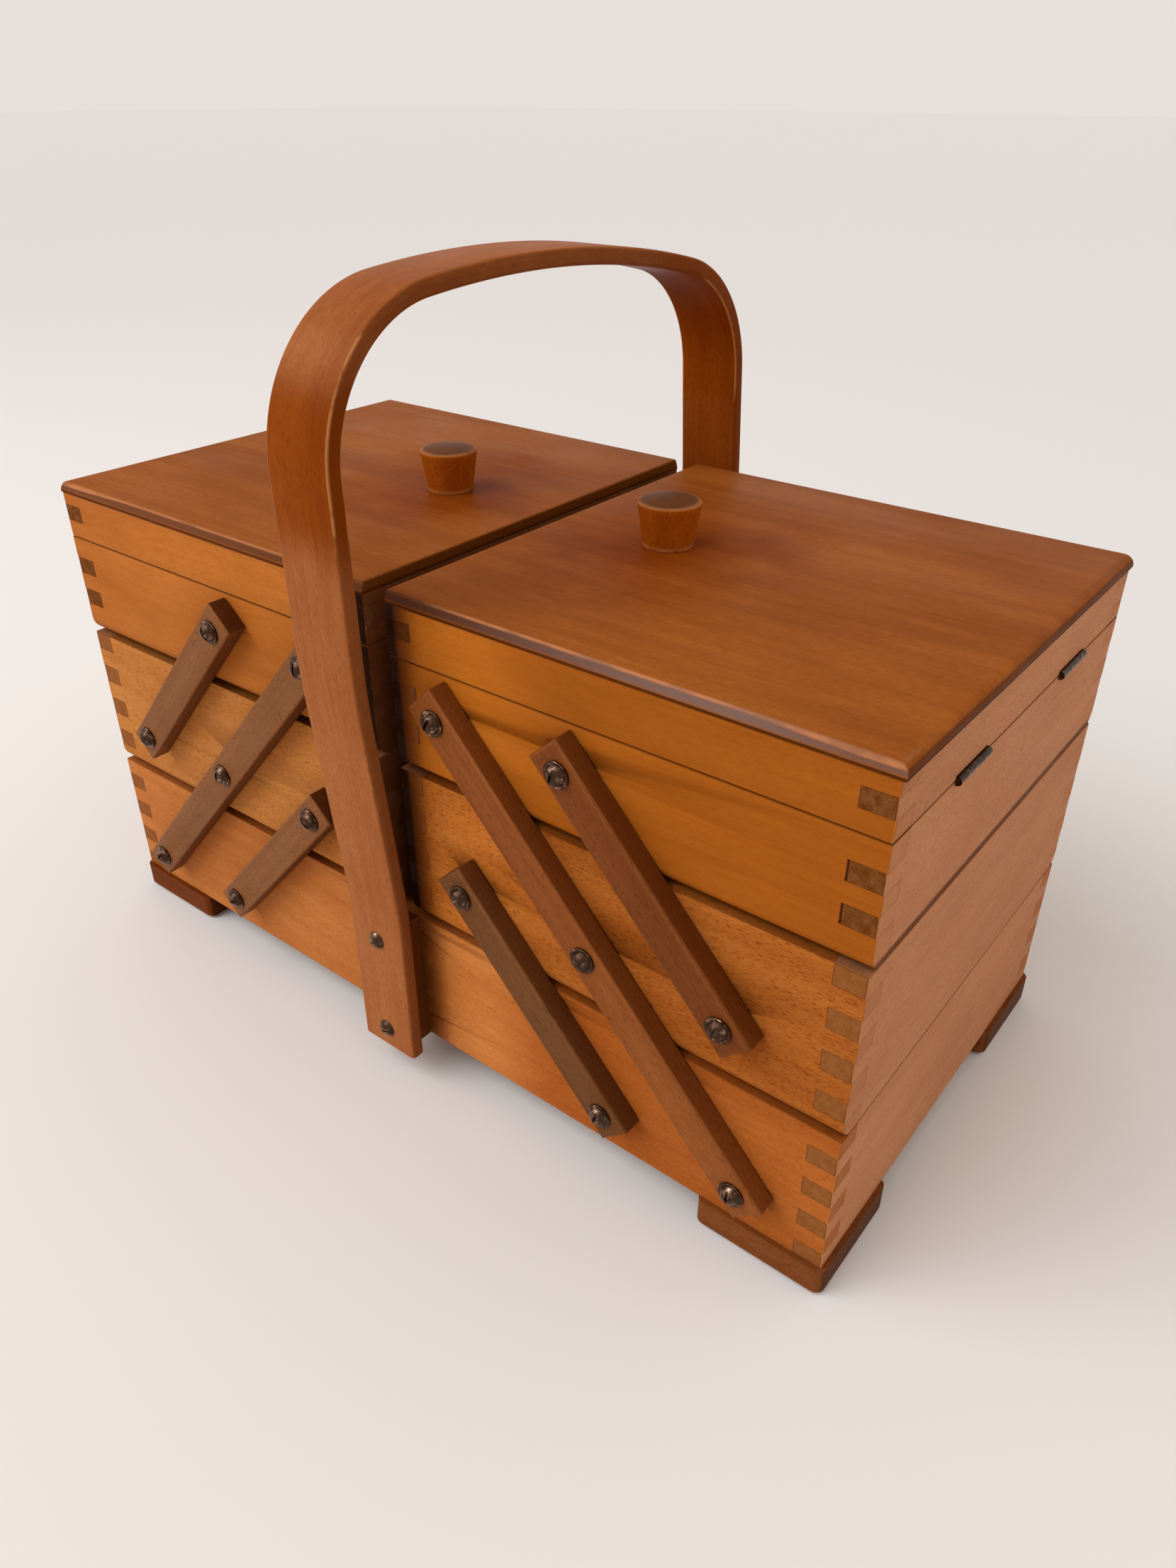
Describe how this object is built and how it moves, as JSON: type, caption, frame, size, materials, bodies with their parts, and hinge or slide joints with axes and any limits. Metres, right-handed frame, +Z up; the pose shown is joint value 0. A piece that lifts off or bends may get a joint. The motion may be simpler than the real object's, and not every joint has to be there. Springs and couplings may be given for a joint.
{
  "type": "sewing carrier",
  "caption": "Wooden cantilever sewing carrier: a long base box with trays and lidded trays that swing out to both sides on parallel arms, under a fixed hoop handle.",
  "frame": {"origin": "on the floor, under the middle of the base box", "axes": "+X along the carrier to its right end, +Y from the front to the rear, +Z up"},
  "size_m": [0.4242, 0.2607, 0.3362],
  "materials": {
    "side_boards": "satin varnish over honey-coloured beech",
    "end_boards": "satin varnish over pink-brown beech",
    "lid_boards": "satin varnish over red-brown veneered board",
    "tray_bottoms": "plain varnish over pale plywood",
    "arms": "satin brown stain and varnish",
    "handle": "satin varnish over steam-bent beech",
    "knobs": "satin varnish over turned wood",
    "feet": "dull brown stain",
    "screws": "darkened bronze finish, worn bright on the edges",
    "hinges": "dark bronzed steel"
  },
  "bodies": {
    "base": {"base_front_board": "side_boards", "base_rear_board": "side_boards", "left_base_end": "end_boards", "right_base_end": "end_boards", "base_bottom": "tray_bottoms", "corner_feet": "feet", "handle_hoop": "handle", "handle_spacers": "handle", "handle_screws": "screws", "base_pivot_screws": "screws"},
    "left_long_arms": {"left_long_arms": "arms"},
    "left_lower_short_arms": {"left_lower_short_arms": "arms"},
    "left_middle_tray": {"left_middle_front_board": "side_boards", "left_middle_rear_board": "side_boards", "left_middle_inner_end": "end_boards", "left_middle_outer_end": "end_boards", "left_middle_bottom": "tray_bottoms", "left_middle_pivot_screws": "screws"},
    "left_upper_short_arms": {"left_upper_short_arms": "arms"},
    "left_upper_tray": {"left_upper_front_board": "side_boards", "left_upper_rear_board": "side_boards", "left_upper_inner_end": "end_boards", "left_upper_outer_end": "end_boards", "left_upper_bottom": "tray_bottoms", "left_upper_divider": "tray_bottoms", "left_upper_pivot_screws": "screws", "left_hinge_tray_leaves": "hinges", "left_hinge_pins": "hinges"},
    "left_lid": {"left_lid_rim_sides": "side_boards", "left_lid_rim_ends": "end_boards", "left_lid_top_board": "lid_boards", "left_knob": "knobs", "left_knob_screw": "screws", "left_hinge_lid_leaves": "hinges"},
    "right_long_arms": {"right_long_arms": "arms"},
    "right_lower_short_arms": {"right_lower_short_arms": "arms"},
    "right_middle_tray": {"right_middle_front_board": "side_boards", "right_middle_rear_board": "side_boards", "right_middle_inner_end": "end_boards", "right_middle_outer_end": "end_boards", "right_middle_bottom": "tray_bottoms", "right_middle_pivot_screws": "screws"},
    "right_upper_short_arms": {"right_upper_short_arms": "arms"},
    "right_upper_tray": {"right_upper_front_board": "side_boards", "right_upper_rear_board": "side_boards", "right_upper_inner_end": "end_boards", "right_upper_outer_end": "end_boards", "right_upper_bottom": "tray_bottoms", "right_upper_divider": "tray_bottoms", "right_upper_pivot_screws": "screws", "right_hinge_tray_leaves": "hinges", "right_hinge_pins": "hinges"},
    "right_lid": {"right_lid_rim_sides": "side_boards", "right_lid_rim_ends": "end_boards", "right_lid_top_board": "lid_boards", "right_knob": "knobs", "right_knob_screw": "screws", "right_hinge_lid_leaves": "hinges"}
  },
  "joints": [
    {"name": "right_swing", "type": "hinge", "parent": "base", "child": "right_long_arms", "pos_m": [0.1755, 0, 0.039], "axis": [0, 1, 0], "range_deg": [0, 85.6]},
    {"name": "right_lower_arm_turn", "type": "hinge", "parent": "base", "child": "right_lower_short_arms", "pos_m": [0.1145, 0, 0.039], "axis": [0, 1, 0], "range_deg": [0, 85.6]},
    {"name": "right_middle_tray_level", "type": "hinge", "parent": "right_long_arms", "child": "right_middle_tray", "pos_m": [0.106, 0, 0.114], "axis": [0, 1, 0], "range_deg": [-85.6, 0]},
    {"name": "right_upper_tray_level", "type": "hinge", "parent": "right_long_arms", "child": "right_upper_tray", "pos_m": [0.0365, 0, 0.189], "axis": [0, 1, 0], "range_deg": [-85.6, 0]},
    {"name": "right_upper_arm_turn", "type": "hinge", "parent": "right_middle_tray", "child": "right_upper_short_arms", "pos_m": [0.1645, 0, 0.114], "axis": [0, 1, 0], "range_deg": [0, 85.6]},
    {"name": "right_lid_hinge", "type": "hinge", "parent": "right_upper_tray", "child": "right_lid", "pos_m": [0.2105, 0, 0.20375], "axis": [0, 1, 0], "range_deg": [0, 178]},
    {"name": "left_swing", "type": "hinge", "parent": "base", "child": "left_long_arms", "pos_m": [-0.1755, 0, 0.039], "axis": [0, -1, 0], "range_deg": [0, 85.6]},
    {"name": "left_lower_arm_turn", "type": "hinge", "parent": "base", "child": "left_lower_short_arms", "pos_m": [-0.1145, 0, 0.039], "axis": [0, -1, 0], "range_deg": [0, 85.6]},
    {"name": "left_middle_tray_level", "type": "hinge", "parent": "left_long_arms", "child": "left_middle_tray", "pos_m": [-0.106, 0, 0.114], "axis": [0, -1, 0], "range_deg": [-85.6, 0]},
    {"name": "left_upper_tray_level", "type": "hinge", "parent": "left_long_arms", "child": "left_upper_tray", "pos_m": [-0.0365, 0, 0.189], "axis": [0, -1, 0], "range_deg": [-85.6, 0]},
    {"name": "left_upper_arm_turn", "type": "hinge", "parent": "left_middle_tray", "child": "left_upper_short_arms", "pos_m": [-0.1645, 0, 0.114], "axis": [0, -1, 0], "range_deg": [0, 85.6]},
    {"name": "left_lid_hinge", "type": "hinge", "parent": "left_upper_tray", "child": "left_lid", "pos_m": [-0.2105, 0, 0.20375], "axis": [0, -1, 0], "range_deg": [0, 178]}
  ],
  "couplings": [
    {"joint": "right_lower_arm_turn", "follows": "right_swing", "ratio": 1},
    {"joint": "right_middle_tray_level", "follows": "right_swing", "ratio": -1},
    {"joint": "right_upper_tray_level", "follows": "right_swing", "ratio": -1},
    {"joint": "right_upper_arm_turn", "follows": "right_swing", "ratio": 1},
    {"joint": "left_lower_arm_turn", "follows": "left_swing", "ratio": 1},
    {"joint": "left_middle_tray_level", "follows": "left_swing", "ratio": -1},
    {"joint": "left_upper_tray_level", "follows": "left_swing", "ratio": -1},
    {"joint": "left_upper_arm_turn", "follows": "left_swing", "ratio": 1}
  ]
}
